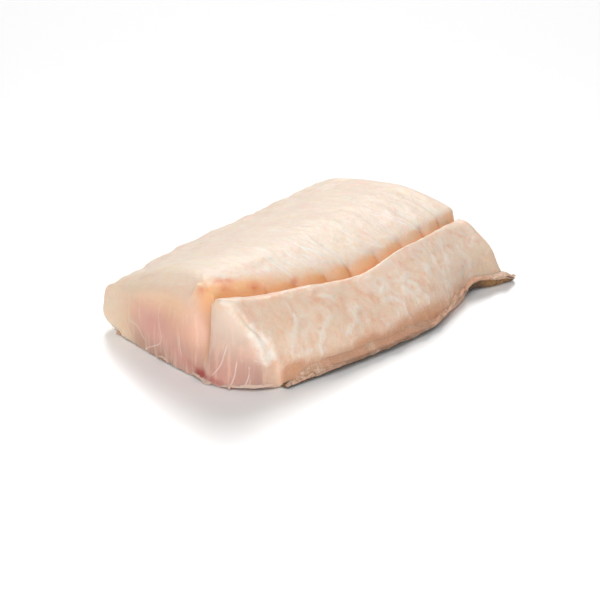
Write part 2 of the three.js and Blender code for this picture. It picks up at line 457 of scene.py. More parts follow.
def round_cuts(points, top_depth, side_depth, side_inwards, near_radius, far_radius):
    """Rounds the edges between the two cuts and the outside into quarter circles."""
    x, y, _ = points.T
    below = np.minimum(top_depth, side_depth)
    sideways = smooth(top_depth - side_depth, -2, 2)
    moved = points.copy()
    ends = ((behind_near_cut(points), near_radius, 1), (far_cut_x(y) - x, far_radius, -1))
    for gap, radius, inwards in ends:
        angle = np.pi / 4 * (1 + np.clip((gap - below) / radius, -1, 1))
        inside = (gap < radius) & (below < radius) & (np.minimum(gap, below) < 0.2)
        back = np.where(inside, radius * (1 - np.cos(angle)) - gap, 0)
        down = np.where(inside, radius * (1 - np.sin(angle)) - below, 0)
        moved[:, 0] += inwards * back
        moved[:, 1] += side_inwards * down * sideways
        moved[:, 2] -= down * (1 - sideways)
    return moved


def web(points, size, seed):
    """A branching net of soft lines, 1 along the lines, with meshes of the given size."""
    warped = drifted(points, size * 0.35, size * 1.3, seed + 1)
    return 1 - np.minimum(np.abs(rough(warped, size, seed, 1)) * 3.2, 1)


def finished(bm, name, layers, material, stands_for=None):
    """Puts a mesh in its place in the frame, in metres, with its surface layers."""
    set_points(bm, (points_of(bm) + SHIFT) * MM)
    bmesh.ops.recalc_face_normals(bm, faces=bm.faces)
    mesh = bpy.data.meshes.new(name)
    bm.to_mesh(mesh)
    bm.free()
    mesh.shade_smooth()
    mesh.set_sharp_from_angle(angle=math.radians(CREASE_ANGLE))
    for layer, columns in layers.items():
        attribute = mesh.attributes.new(layer, "FLOAT_VECTOR", "POINT")
        values = np.stack([np.broadcast_to(c, len(mesh.vertices)) for c in columns], axis=-1)
        attribute.data.foreach_set("vector", values.astype(np.float32).ravel())
    piece = bpy.data.objects.new(name, mesh)
    bpy.context.scene.collection.objects.link(piece)
    mesh.materials.append(material)
    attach(piece, "root")
    if stands_for:
        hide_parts(stands_for)


def even_knots(first, last):
    """A function from shares to knots, with even steps along the middle section's outline."""
    knots = np.linspace(first, last, 300)
    outline = through(section(np.full(len(knots), 0.45)), knots)
    lengths = np.concatenate([[0], np.cumsum(np.linalg.norm(np.diff(outline, axis=0), axis=1))])
    return lambda share: np.interp(share, lengths / lengths[-1], knots)


def patch(across, up, left, right, top):
    """Points of a section filled in between its two sides, its top and a straight foot."""
    b, c = across[:, None], up[:, None]
    zero, one = np.zeros_like(across), np.ones_like(across)
    foot = left(zero) * (1 - b) + right(zero) * b
    upright = foot * (1 - c) + top(across) * c
    sideways = left(up) * (1 - b) + right(up) * b
    corners = foot * (1 - c) + (left(one) * (1 - b) + right(one) * b) * c
    return upright + sideways - corners


def septum(outline, along, up, lap=0.0):
    """The wall between the muscles, from the skin up to the groove, slightly bowed."""
    groove = through(outline, np.full_like(up, GROOVE_KNOT))
    foot = np.stack([size_at("septum_foot_y", along), np.full_like(up, FOOT_Z)], axis=-1)
    wall = foot + (groove - foot) * up[:, None]
    wall[:, 0] -= SEPTUM_BOW * up * (1 - up) * (1 - smooth(along, 0, 0.2))
    wall[:, 0] += lap * (1 - smooth(up, 0.8, 1))
    return wall


def tucked(points):
    """Points with the side muscle's near cut tucked in below its lip, so the lip stands off the board."""
    _, y, z = points.T
    lip = LIP_RISE * smooth(-y, 15, 33)
    ragged = 0.35 * rough(points * (1, 1, 0), 2.4, 62) * (lip > 0)
    fading = np.exp(-np.maximum(behind_near_cut(points), 0) / 3)
    tuck = LIP_TUCK * np.maximum(lip + ragged - z, 0) * fading
    return points + tuck[:, None] * (1, 0, 0)


def depth_of_cut(points):
    """How far each point is from the nearer of the two cuts."""
    far = np.abs(far_cut_x(points[:, 1]) - points[:, 0])
    return np.minimum(np.abs(behind_near_cut(points)), far)


def flake_place(points):
    """Where the flake line through each point meets the groove: lines run across the
    muscle and sweep a little towards the far cut."""
    sweep = 0.004 * np.maximum(-6 - points[:, 1], 0) ** 2 - 0.13 * np.maximum(points[:, 1], 0)
    wander = 2.2 * rough(points * (1, 1, 0), 26, 5) + 0.8 * rough(points * (1, 1, 0), 7, 6)
    return points[:, 0] + FLAKE_ZERO - sweep + wander * smooth(points[:, 1], -20, -6)


def flakes(place):
    """Each point's rise on its flake, from 0 to 1, its signed distance to the nearest flake
    edge and how plainly that edge shows."""
    ends, shows = np.array(FLAKE_ENDS, float), np.array(FLAKE_SHOWS)
    index = np.clip(np.searchsorted(ends, place) - 1, 0, len(ends) - 2)
    gap = ends[index + 1] - ends[index]
    rise = np.clip((place - ends[index]) / gap, 0, 1)
    nearest = np.where(rise > 0.5, index + 1, index)
    return rise, place - ends[nearest], shows[nearest]


# ---------------------------------------------------------------------------
# Muscles
# ---------------------------------------------------------------------------


def main_muscle_mesh(sizes):
    bm = block(MAIN_STEPS, open_bottom=True)
    along, across, up = shares_of(bm)
    outline = section(along)
    knots = even_knots(EDGE_KNOT, GROOVE_KNOT)
    yz = patch(
        across, up,
        left=lambda c: through(outline, EDGE_KNOT * c),
        right=lambda c: septum(outline, along, c),
        top=lambda b: through(outline, knots(b)),
    )
    points = stand(along, yz)
    knot = knots(across)

    cut = depth_of_cut(points)
    wall = (across > FULL) & (up < FULL)
    top_depth = np.where((up > FULL) | wall, 0, through(outline, knot)[:, 1] - points[:, 2])
    side_depth = MAIN_WIDTH * across
    below = np.minimum(top_depth, side_depth + 0.01)
    _, y, z = points.T
    fading = np.exp(-np.abs(behind_near_cut(points)) / 4)
    points[:, 0] += SEPTUM_RECESS * smooth(-y, 4, 16) * smooth(z, 3, 22) * fading
    crown = smooth(y, -18, -2) * (1 - 0.9 * smooth(y, 22, 42))
    near_radius = 0.7 + (sizes.cut_rounding / MM - 0.7) * crown
    far_radius = 0.8 + 1.6 * smooth(y, -8, 6)
    rounded = round_cuts(points, top_depth, side_depth, -1, near_radius, far_radius)
    set_points(bm, np.where(wall[:, None], points, rounded))
    soften(bm, (cut < 6) & (below < 6) & ~wall, 5)

    points = points_of(bm)
    on_cut = 1 - smooth(cut, 0.4, 2.4)
    open_top = smooth(up, 0.4, 1) * (1 - on_cut)
    place = flake_place(points)
    rise, gap, shows = flakes(place)
    groovewards = smooth(knot, 6.6, 8.2)
    tilt = rise * (1 - smooth(rise, 0.8, 1)) - 0.3
    steps = sizes.flake_relief / MM * (0.3 + 0.7 * shows) * groovewards * tilt
    flank = smooth(knot, 9.1, 9.7) * (1 - smooth(knot, 10.6, 11.3)) * smooth(along, 0.1, 0.2)
    steps += 0.7 * flank * (np.sin(np.pi * rise) ** 0.7 - 0.75)
    ribs = 0.05 * rough(np.stack([place / 2.4, points[:, 1] / 9, points[:, 2] / 9], axis=-1), 1, 3)
    pearls = 0.08 * rough(points, 3.2, 4) + 0.75 * rough(points, 7.5, 14) * (1 - smooth(knot, 4.0, 6.0))
    threads = strokes(points, [on_surface(c) for c in TOP_THREADS], 0.6)
    seams, near_seam = seam_share(points, on_both_cuts(MAIN_SEAMS))
    lift = on_both_muscles(points, sizes, on_cut, near_seam)
    lift += open_top * (steps + ribs + pearls + 0.16 * threads)
    push(bm, np.where(wall & (on_cut < 0.5), 0, lift))
    edge_shows = shows * open_top * lump(gap, 0, 2.2)
    edge_shows *= smooth(points[:, 1], 12, 0) * (1 - smooth(knot, 9.3, 10))
    # painted shade: deep amber in the creases where the flakes meet by the groove
    crease_shade = flank * lump(gap, 0, 1.2) * shows * open_top
    return bm, {
        "grain": (place, points[:, 1], points[:, 2]),
        "marks": (blood_share(points), seams, on_cut),
        "zones": main_zones(points, along, knot, up, on_cut),
        "flakes": (gap, edge_shows, fan_share(points)),
        # the cut's own colour comes in over 12 mm below the top, so the paler outside colour on the cut's
        # upper band is partly painted light
        "depths": (smooth(below, 0.2, 12), low_cut_shade(points), near_seam),
        "details": (threads * open_top, bruise_share(points), crease_shade),
    }


def on_both_muscles(points, sizes, on_cut, near_seam):
    """Relief that both muscles have: broad swells and dips, seams and small tears at the foot."""
    broad = sizes.unevenness / MM * (0.8 * rough(points, 16, 1) + 0.45 * rough(points, 6, 2, 3))
    torn = 0.6 * rough(points * (1, 1, 0.3), 3.0, 17) * (1 - smooth(points[:, 2], 1.5, 4))
    return broad * (1 - 0.7 * on_cut) - 0.08 * near_seam + torn * on_cut


def fan_share(points):
    """Where the fine white threads on the flank show most."""
    fan = np.zeros(len(points))
    for (x, y), (length, width), plainness in FANS:
        fan += plainness * lump(points[:, 0], x, length) * lump(points[:, 1], y, width)
    return fan


def seam_share(points, lines):
    """Signed distance to the nearest seam, and how plainly that seam shows there."""
    best = np.full(len(points), FAR_OFF)
    shows = np.zeros(len(points))
    for line in lines:
        reached = np.linspace(0, 1, len(line))
        for (share, gap, way), first in zip(along_pieces(points, line), reached):
            distance = np.linalg.norm(gap, axis=1)
            nearer = distance < np.abs(best)
            side = np.sign(way[1] * gap[:, 2] - way[2] * gap[:, 1])
            best = np.where(nearer, distance * side, best)
            plain = lump(distance, 0, 1.1) * smooth(first + share / len(line), 0.0, 0.4)
            shows = np.where(nearer, plain, shows)
    return best, shows


def bruise_share(points):
    """Red spots by the groove, longer along the grain."""
    share = np.zeros(len(points))
    for place, radius in BRUISES:
        share += lump(np.linalg.norm((points - place) * (0.7, 1, 1), axis=1), 0, radius)
    return np.minimum(share, 1) * (0.9 + 0.4 * rough(points, 1.8, 12))


def low_cut_shade(points):
    """How low on the near cut each point is, where painted shade makes the flesh darker and glassier towards
    the foot.
    """
    _, y, z = points.T
    low = 1 - smooth(z + 1.5 * rough(points, 8, 15), 2, 17)
    return by_near_cut(points, 0.6, 3.0) * low * (1 - 0.5 * smooth(y, 15, 35))


def blood_share(points):
    """Blood at the foot of the septum on the near cut."""
    ragged = 1 + 0.3 * rough(points, 2.0, 9)
    share = np.zeros(len(points))
    for middle, radii, spread, depth in BLOOD:
        away = ragged * np.linalg.norm((points[:, 1:] - middle) / radii, axis=1)
        share += depth * (1 - smooth(away, *spread))
    return np.minimum(share, 0.9) * by_near_cut(points, 0.6, 2.0)


def main_zones(points, along, knot, up, on_cut):
    """How rosy, amber and creamy each point is; the cream high on the near cut is painted light."""
    _, y, z = points.T
    near = by_near_cut(points, 3, 9)
    patch_y = y + 3 * rough(points, 12, 16)
    rosy = np.maximum(lump(patch_y, 10, 12) * lump(z, 13, 9), 0.8 * lump(y, -2, 9) * lump(z, 6, 6))
    rosy *= on_cut * (1 + 0.4 * rough(points, 9, 7))
    crest = size_at("crest_knot", along)
    top = smooth(up, 0.8, 1)
    flank = smooth(knot + 0.3 * rough(points, 6, 8), crest - 0.1, crest + 1.0) * top
    flank *= 0.92 - 0.58 * smooth(along, 0.1, 0.3) - 0.16 * smooth(along, 0.6, 0.85)
    rise, _, _ = flakes(flake_place(points))
    height = 9.9 - 0.55 * np.sin(np.pi * np.clip(rise, 0, 1)) ** 0.5
    # amber at the foot of each flake by the groove: partly the flesh's own orange and partly painted shade
    # under the flake ends
    foot_amber_and_shade = smooth(knot, height - 0.25, height + 0.25) * top * (0.25 + 0.5 * rise ** 1.5)
    foot_amber_and_shade *= smooth(along, 0.14, 0.22)
    band = 1.8 + 5.2 * smooth(z, 16, 31)
    hug = near * (1 - smooth(y - SEPTUM_Y + 0.8, 0.3 * band, 1.9 * band)) * smooth(z, 1, 13)
    glow = 0.3 * near * lump(y, 2.5, 5) * lump(z, 18, 6)
    amber = np.maximum(np.minimum(flank + foot_amber_and_shade, 1), 0.9 * hug + glow)
    front = np.maximum(on_cut, by_near_cut(points, 3, 13))
    # cream: paler flesh towards the thin edge, and painted light high on the near cut and over its rounded
    # top edge
    cream_and_light = front * np.maximum(smooth(patch_y, 15, 38), 0.8 * smooth(z, 14, 26) * smooth(y, -13, 0))
    cream_and_light *= 1 - 0.7 * smooth(z, 22, 28) * (1 - smooth(y, 20, 42))
    return rosy, amber, cream_and_light


def side_muscle_mesh(sizes):
    bm = block(SIDE_STEPS, open_bottom=True)
    along, across, up = shares_of(bm)
    outline = section(along)
    knots = even_knots(GROOVE_KNOT, SIDE_KNOT)
    side_knots = even_knots(LAST_KNOT, SIDE_KNOT)
    yz = patch(
        across, up,
        left=lambda c: septum(outline, along, c, lap=0.5),
        right=lambda c: through(outline, side_knots(c)),
        top=lambda b: through(outline, knots(b)),
    )
    points = stand(along, yz)
    outer = across > FULL
    knot = np.where(outer, side_knots(up), knots(across))

    cut = depth_of_cut(points)
    wall = (1 - across > FULL) & (up < 0.97)
    on_top = up > FULL
    top_depth = np.where(on_top, 0, through(outline, knots(across))[:, 1] - points[:, 2])
    top_depth = np.where(outer, 9, top_depth)
    side_depth = np.where(on_top, 9, SIDE_WIDTH * (1 - across))
    below = np.minimum(top_depth, side_depth + 0.01)
    near_radius = 0.9 + 2.4 * smooth(knot, 13, 15)
    rounded = round_cuts(points, top_depth, side_depth, 1, near_radius, np.full(len(along), 0.9))
    set_points(bm, np.where(wall[:, None], points, rounded))
    soften(bm, (cut < 4) & (below < 4) & ~wall & (knot > 12.9), 9)

    points = points_of(bm)
    on_cut = 1 - smooth(cut, 0.4, 2.0)
    outside = np.where(on_top | outer, 1, 0)
    skinwards = smooth(knot, 12.6, 13.6) * outside * (1 - on_cut)
    folds = film_folds(points, along, knot)
    streaks = strokes(drifted(points, 0.6, 2.5, 25), [on_surface(c) for c in FILM_STREAKS], 1.6)
    seams, near_seam = seam_share(points, on_both_cuts(SIDE_SEAMS))
    edge = film_edge_share(points)
    net = web(points, 6.5, 71) ** 1.5 * smooth(rough(points, 12, 74), -0.2, 0.3)
    rim = lip_and_highlight_share(points, knot, along) * outside
    curds = 0.05 * rough(points, 1.9, 23) + 0.14 * rough(points, 4.2, 22)
    relief = curds + sizes.fold_height / MM * (folds + 0.5 * streaks + 0.35 * net) + 0.3 * rim
    lift = on_both_muscles(points, sizes, on_cut, near_seam) + skinwards * relief + 0.3 * edge
    push(bm, np.where(wall & (on_cut < 0.5), 0, lift))
    set_points(bm, tucked(points_of(bm)))
    film = skinwards * (0.25 + 0.75 * smooth(along, 0.1, 0.9))
    return bm, {
        "grain": (flake_place(points), points[:, 1], points[:, 2]),
        "marks": (blood_share(points), seams, on_cut),
        "zones": side_zones(points, along, knot, on_cut),
        "films": (film, np.maximum(streaks, 0.8 * folds), edge),
        # the second number is the film's lip, which carries its painted highlight
        "depths": (smooth(below, 0.3, 6), rim * (1 - on_cut), near_seam),
        "details": (net * skinwards, low_cut_shade(points), 0.0),
    }


def film_edge_share(points):
    """How thick the torn film lies along its edge on the near cut: widest and whitest below."""
    _, y, z = points.T
    gap = line_distance(points, on_near_cut(FILM_EDGE))
    width = 1.8 + 2.0 * smooth(-y, 25, 33)
    share = 0.75 * lump(gap, 0, width)
    for place, radius in FILM_PATCHES:
        share = np.maximum(share, lump(np.linalg.norm(points - place, axis=1), 0, radius))
    return share * smooth(z, 7, 11) * (1 + 0.35 * rough(points, 3, 27))


def lip_and_highlight_share(points, knot, along):
    """The thin lip where the film folds over into the groove, with a painted highlight along it."""
    lip = lump(knot, 13.02 + 0.06 * rough(points * (1, 0, 0), 7, 28), 0.2)
    return lip * smooth(along, 0.02, 0.1) * (0.85 + 0.5 * rough(points * (1, 0, 0), 5, 29))


def film_folds(points, along, knot):
    """Loose folds that swirl in the film halfway along the side muscle."""
    where = lump(along, 0.56, 0.11) * smooth(knot, 14.6, 15.3) * (1 - smooth(knot, 16.4, 17.2))
    drift = 3.2 * rough(points, 7, 31)
    waves = np.sin(along * 62 + (knot - 15.5) * 2.2 + drift)
    return where * 0.7 * smooth(waves, 0.3, 1) * smooth(rough(points, 4, 32), -0.2, 0.4)


def side_zones(points, along, knot, on_cut):
    """How rosy, salmon and beige each point is; the beige high on the near cut is painted light."""
    _, y, z = points.T
    rosy = on_cut * np.maximum(lump(y, -22, 9), 0.5 * lump(y, -30, 5)) * lump(z, 4, 8)
    height = z + 1.3 * rough(points * (1, 0, 0), 9, 41) + 0.5 * rough(points, 3, 42)
    band = 1 - smooth(height, 3.6, 9.6 + 1.8 * smooth(along, 0.25, 0.55))
    spot = np.minimum(lump(along, 0.055, 0.035) * lump(z, 6.0, 2.4) * 1.2, 1)
    strength = 1 - 0.3 * smooth(along, 0.05, 0.12) * (1 - smooth(along, 0.16, 0.26))
    strength -= 0.3 * smooth(along, 0.55, 0.8)
    salmon = np.maximum(band * strength, spot) * (1 - smooth(along, 0.8, 0.88)) * (1 - 0.9 * on_cut)
    beige = np.maximum(smooth(along, 0.86, 0.92) * smooth(knot, 15.3, 16), on_cut * smooth(along, 0.5, 0.6))
    # beige: the facet by the far corner and the far cut, and painted light high on the side muscle's near
    # cut
    beige = np.maximum(beige, on_cut * smooth(z + 2 * rough(points, 6, 43), 8, 27) * smooth(-y, 14, 20))
    return rosy, salmon, beige


# ---------------------------------------------------------------------------
# Skin and torn edges
# ---------------------------------------------------------------------------


def crowd(share):
    """Steps that grow finer towards both ends."""
    return share - 0.13 * np.sin(2 * np.pi * share)


def skin_mesh(sizes):
    bm = block(SKIN_STEPS)
    along, across, up = shares_of(bm)
    along, across = crowd(along), crowd(across)
    height = size_at("lip_height", along)
    thick_rim = size_at("rim_thickness", along) * sizes.rim_height / MM
    reach = FLAP_REACH * smooth(along, FLAP_START, 1.0)
    inner = size_at("edge_y", along) - size_at("undercut", along) + 0.5
    outer = size_at("foot_y", along) - size_at("lip_reach", along) - reach
    y = inner + (outer - inner) * across
    near = near_cut_x(y, 0 * y) + SKIN_INSET + 2.8 * smooth(-y, 15, 33) * smooth(y, -40.5, -38)
    over = FLAP_OVERHANG * smooth(size_at("foot_y", along) + 2 - y, 0, 4)
    far = far_cut_x(y) - SKIN_INSET + over
    x = near + (far - near) * along
    side_rim = (1 - across) * (inner - outer)
    near_rim, far_rim = x - near, far - x
    flat = np.stack([x, y, 0 * y], axis=-1)
    waves = rough(flat, 4.5, 52)
    ribs = rough(flat + up[:, None] * (0, 0, 0.8), 1.5, 51)
    front = 1 - smooth(along, 0.12, 0.3)
    flap = smooth(along, FLAP_START, 0.93)

    # the rim stands off the board on a dark brown underside, and swells into a lumpy lip
    height = height * (1 + 0.2 * waves)
    hollow = 1.0 + 1.7 * height * (1 - 0.75 * smooth(along, 0.72, 0.82))
    under = height * (1 - smooth(side_rim, -0.6, hollow))
    ragged_foot = 0.5 * (1 - smooth(y, 0, 12)) * (0.8 + 0.6 * waves)
    under = np.maximum(under, ragged_foot * (1 - smooth(near_rim, 0, 1.2)))
    under = np.maximum(under, 0.4 * (1 - smooth(far_rim, 0, 1.2)) * (1 - flap))
    flare = (1 - smooth(along, 0.5, 0.65)) * smooth(along, 0, 0.05)
    shelf = 1 - smooth(side_rim, 3.4 + 1.6 * flare + 0.4 * reach, 6.4 + 2.0 * flare + 0.6 * reach)
    slope = 2.2 * flare * np.clip(side_rim / 5.4, 0, 1) ** 2.4
    lumps = (0.6 * waves + 0.25 * ribs) * (1 - smooth(side_rim, 0.8, 3))
    crest = height + thick_rim * (0.5 + lumps) + slope
    over_top = SKIN_THICKNESS + (crest - SKIN_THICKNESS) * shelf
    over_top -= 0.5 * size_at("rim_valley", along) * lump(side_rim, 2.6, 0.7)
    over_top -= 0.7 * (1 - smooth(near_rim, 0.3, 2)) * (1 - front * shelf)
    lift = corner_lift(along, y)
    z = lift * (1 - shelf * flap) + under + (over_top - under) * up

    # from outside it is a ragged, ribbed lip, split into two layers at the far corner
    loose = 1 - smooth(side_rim, 0, 1.4)
    nose = np.sqrt(np.clip(1 - (2 * up - 1) ** 2, 0, 1))
    ragged = loose * (0.45 * waves + (0.2 + 0.2 * front) * ribs + 0.3 * thick_rim * nose)
    # split: the groove between the rim's two layers, which the finish also paints dark as shade
    split_and_shade = lump(up, 0.42, 0.13) * np.maximum(smooth(along, 0.92, 0.98), 0.35 * smooth(along, 0.5, 0.6))
    notch = 1.2 * lump(np.hypot(x - 13.2, y + 37.9), 0, 1.6)
    y = y - ragged + notch + 0.5 * loose + 0.9 * split_and_shade * loose
    near_end, far_end = 1 - smooth(near_rim, 0, 1.6), 1 - smooth(far_rim, 0, 1.6)
    x = x - (near_end - far_end) * (0.25 * waves + 0.15 * ribs + 0.3 * nose) - 1.1 * far_end * split_and_shade * flap
    set_points(bm, np.stack([x, y, z], axis=-1))
    soften(bm, (side_rim < 0.6) | (near_rim < 0.6) | (far_rim < 0.6), 1)
    side = 1 - smooth(side_rim, 0.5, 3.0 + reach)
    tanned = 1 - 0.75 * smooth(along + 0.03 * waves, 0.4, 0.52)
    tanned += 0.5 * lump(along, 0.8, 0.05) - 0.8 * lump(along, 0.04, 0.09)
    # painted shade: the rim is darkened towards tan and brown under the side muscle's lip at the near cut
    # and along its outer edge at the front
    shaded = (1 - smooth(near_rim, 1.5, 3.5)) * smooth(-y, 15, 22) * smooth(y, -42, -39)
    outermost = 1 - smooth(side_rim + 0.8 * waves, 0.4, 3.6)
    shaded = np.maximum(shaded, 0.8 * (1 - smooth(along, 0.5, 0.65)) * outermost)
    tip = smooth(along, 0.93, 1) * (1 - smooth(side_rim, 3, 6))
    return bm, {
        # the second skins number is the height up the rim less the painted shade
        "skins": (tanned, up * (1 - shaded), split_and_shade * np.maximum(loose, far_end)),
        "ends": (tip, flap * side, 0.0),
    }


def shred_mesh():
    """One mesh of all the shreds, each a narrow strip along the near cut's foot, given a wall."""
    bm = bmesh.new()
    rows, columns = SHRED_STEPS
    for number, (curve, proud, width) in enumerate(SHREDS):
        strip = bmesh.ops.create_grid(bm, x_segments=rows, y_segments=columns, size=0.5)["verts"]
        share = np.array([v.co.x for v in strip]) + 0.5
        side = np.array([v.co.y for v in strip])
        curve = np.array(curve, float)
        middle = through(curve, share * (len(curve) - 1))
        taper = np.sqrt(np.clip(1 - (2 * share - 1) ** 4, 0.04, 1))
        wave = rough(np.stack([middle[:, 0], 0 * side, 0 * side + number], axis=-1), 2.2, 61)
        y = middle[:, 0]
        z = middle[:, 1] + side * width * taper + 0.12 * wave
        out = proud * taper * (0.55 + 0.35 * wave) * (0.6 - side) + 0.1
        x = near_cut_x(y, z) - out + 0.15
        for vert, point in zip(strip, np.stack([x, y, np.maximum(z, 0.12)], axis=-1).tolist()):
            vert.co = point
    faces = list(bm.faces)
    bmesh.ops.recalc_face_normals(bm, faces=faces)
    bmesh.ops.solidify(bm, geom=faces, thickness=SHRED_THICKNESS)
    # the walls come in no fixed order, so the faces are sorted by their corners
    bm.verts.index_update()
    count = len(bm.verts)
    bm.faces.sort(key=lambda f: min(v.index for v in f.verts) * count + max(v.index for v in f.verts))
    return bm, {"skins": (0.0, 0.9, 0.0), "ends": (0.0, 0.0, 1.0)}


# ---------------------------------------------------------------------------
# Materials
# ---------------------------------------------------------------------------


BUMP_DEPTH = 0.0003                 # in metres
FLESH_INDEX = 1.38
FLESH_RADII = (1.0, 0.5, 0.32)      # red light goes deepest
SKIN_RADII = (1.0, 0.6, 0.4)


class Number:
    """A socket carrying a number. Arithmetic on it adds Math nodes."""

    def __init__(self, finish, socket):
        self.finish = finish
        self.socket = socket

    def math(self, operation, *values):
        node = self.finish.add("ShaderNodeMath", {"operation": operation}, dict(enumerate(values)))
        return Number(self.finish, node.outputs[0])

    def __add__(self, other):
        return self.math("ADD", self, other)

    def __radd__(self, other):
        return self.math("ADD", other, self)

    def __sub__(self, other):
        return self.math("SUBTRACT", self, other)

    def __rsub__(self, other):
        return self.math("SUBTRACT", other, self)

    def __mul__(self, other):
        return self.math("MULTIPLY", self, other)

    def __rmul__(self, other):
        return self.math("MULTIPLY", other, self)

    def __abs__(self):
        return self.math("ABSOLUTE", self)

    def soft(self, low, high):
        """0 at low, 1 at high and a soft rise between."""
        settings = {"interpolation_type": "SMOOTHSTEP"}
        sockets = {"Value": self, "From Min": low, "From Max": high}
        return Number(self.finish, self.finish.add("ShaderNodeMapRange", settings, sockets).outputs[0])


class Finish:
    """A material in the making."""

    def __init__(self, name):
        self.material = bpy.data.materials.new(name)
        self.material.use_nodes = True
        self.nodes = self.material.node_tree.nodes
        self.links = self.material.node_tree.links
        self.nodes.clear()

    def add(self, kind, settings=None, sockets=None):
        """Adds any node: its settings are set first, then its sockets' values or links."""
        node = self.nodes.new(kind)
        for key, value in (settings or {}).items():
            setattr(node, key, value)
        for key, value in (sockets or {}).items():
            if isinstance(value, Number):
                value = value.socket
            if isinstance(value, bpy.types.NodeSocket):
                self.links.new(value, node.inputs[key])
            else:
                node.inputs[key].default_value = value
        return node

    def mix(self, factor, first, second):
        """The first colour where the factor is 0, the second where it is 1."""
        sockets = {0: factor}
        for key, value in ((6, first), (7, second)):
            sockets[key] = value if isinstance(value, bpy.types.NodeSocket) else (*value, 1.0)
        return self.add("ShaderNodeMix", {"data_type": "RGBA"}, sockets).outputs[2]

    def over(self, colour, *coats):
        """A colour under some coats, each a share and the colour it brings there."""
        for share, coat in coats:
            colour = self.mix(share, colour, coat)
        return colour

    def layer(self, name):
        """The three numbers of a surface layer."""
        vector = self.add("ShaderNodeAttribute", {"attribute_name": name}).outputs["Vector"]
        parts = self.add("ShaderNodeSeparateXYZ", sockets={0: vector})
        return vector, [Number(self, out) for out in parts.outputs]

    def millimetres(self):
        """The place on the piece, in millimetres."""
        here = self.add("ShaderNodeTexCoord").outputs["Object"]
        sockets = {0: here, "Scale": 1 / MM}
        return self.add("ShaderNodeVectorMath", {"operation": "SCALE"}, sockets).outputs[0]

    def stretched(self, vector, scale):
        """A vector with each of its numbers scaled by its own amount."""
        return self.add("ShaderNodeVectorMath", {"operation": "MULTIPLY"}, {0: vector, 1: scale}).outputs[0]

    def noise(self, vector, size, detail=2.0, distortion=0.0):
        """Noise from 0 to 1 with lumps of the given size in the vector's unit."""
        sockets = {"Vector": vector, "Scale": 1 / size, "Detail": detail, "Distortion": distortion}
        return Number(self, self.add("ShaderNodeTexNoise", sockets=sockets).outputs[0])

    def bump(self, height):
        sockets = {"Height": height, "Strength": 1.0, "Distance": BUMP_DEPTH}
        return self.add("ShaderNodeBump", sockets=sockets).outputs[0]

    def surface(self, sockets):
        """The finished material, from its surface shader's sockets."""
        shader = self.add("ShaderNodeBsdfPrincipled", sockets=sockets)
        self.add("ShaderNodeOutputMaterial", sockets={"Surface": shader.outputs[0]})
        return self.material


def flesh_finish(colours):
    """Wet raw flesh: pale and pearly outside, rosy and glassy where the knife went."""
    f = Finish("halibut_flesh")
    here = f.millimetres()
    grain, _ = f.layer("grain")
    _, (rosy, amber, cream_and_light) = f.layer("zones")
    _, (blood, seam, on_cut) = f.layer("marks")
    _, (flake_gap, flake_shows, fan) = f.layer("flakes")
    _, (thread_line, bruise, crease_shade) = f.layer("details")
    _, (depth, low, near_seam) = f.layer("depths")

    mottle = f.noise(here, 13, 3)
    cloud = f.noise(here, 5, 3, 0.4)
    pearl = f.noise(here, 2.0, 3, 0.7)
    speck = f.noise(here, 0.8, 2)
    threads = f.noise(f.stretched(grain, (0.8, 0.11, 0.14)), 1, 3, 0.5)
    wisps = f.noise(f.stretched(grain, (0.3, 0.06, 0.07)), 1, 3, 0.6)
    layering = f.noise(f.stretched(here, (0.5, 0.55, 0.09)), 1, 3, 0.4)

    edge = abs(flake_gap).soft(0.8, 0.0) * flake_shows
    outside = f.over(
        colours.flesh,
        (mottle.soft(0.35, 0.65), colours.flesh_pale),
        (cloud.soft(0.5, 0.75) * 0.7, colours.blush),
        (pearl.soft(0.5, 0.72) * 0.5, colours.thread),
        (pearl.soft(0.45, 0.3) * 0.3, colours.flesh_deep),
        (wisps.soft(0.52, 0.66) * 0.35 + threads.soft(0.54, 0.68) * 0.25, colours.thread),
        (threads.soft(0.46, 0.32) * 0.25, colours.flesh_deep),
        (fan * threads.soft(0.46, 0.58) * 0.8, colours.seam),
        (edge * wisps.soft(0.3, 0.5) * 0.5, colours.seam),
        # painted light: cream over the rounded edge above the near cut
        (cream_and_light * 0.3, colours.cream_and_light),
        (amber * (0.68 + mottle * 0.5) * (1.0 - edge * 0.6), colours.amber),
        # painted shade in the creases between the flakes
        (crease_shade * 0.4, colours.amber_crease_shade),
        (thread_line * (0.4 + threads) * 0.6, colours.seam),
    )
    inside = f.over(
        colours.cut,
        (mottle.soft(0.3, 0.7), colours.cut_warm),
        # painted shade: low on the near cut the flesh turns to the darker glassy colour
        (low * 0.75, colours.glassy),
        (rosy * (0.7 + layering * 0.6), colours.rosy),
        # painted light: cream brightens the near cut's upper part, besides the real cream towards the thin
        # edge
        (cream_and_light * 0.9, colours.cream_and_light),
        (layering.soft(0.5, 0.7) * 0.3, colours.flesh_pale),
        (amber * 0.75, colours.amber_cut),
        (seam_line(seam, near_seam, cloud), colours.seam),
    )
    colour = f.over(
        outside,
        # partly painted light: near the top the cut keeps the paler outside colour
        (on_cut * depth, inside),
        (bruise * (0.5 + cloud * 0.5), colours.bruise),
        (blood, colours.blood),
    )
    return f.surface({
        "Base Color": colour,
        "Roughness": 0.58 - pearl * 0.14,
        "Subsurface Weight": 0.55,
        "Subsurface Radius": FLESH_RADII,
        "Subsurface Scale": 0.0035,
        "IOR": FLESH_INDEX,
        "Coat Weight": 0.03 + speck.soft(0.45, 0.7) * 0.12,
        "Coat Roughness": 0.3,
        "Normal": f.bump(threads * (0.5 - on_cut * 0.4) + pearl * 0.5 + speck * 0.3),
    })


def seam_line(seam, near_seam, cloud):
    """A thin line along each seam on the cuts, broken up by the clouds."""
    return abs(seam).soft(0.42, 0.0) * near_seam.soft(0.0, 0.7) * cloud.soft(0.3, 0.5) * 0.5


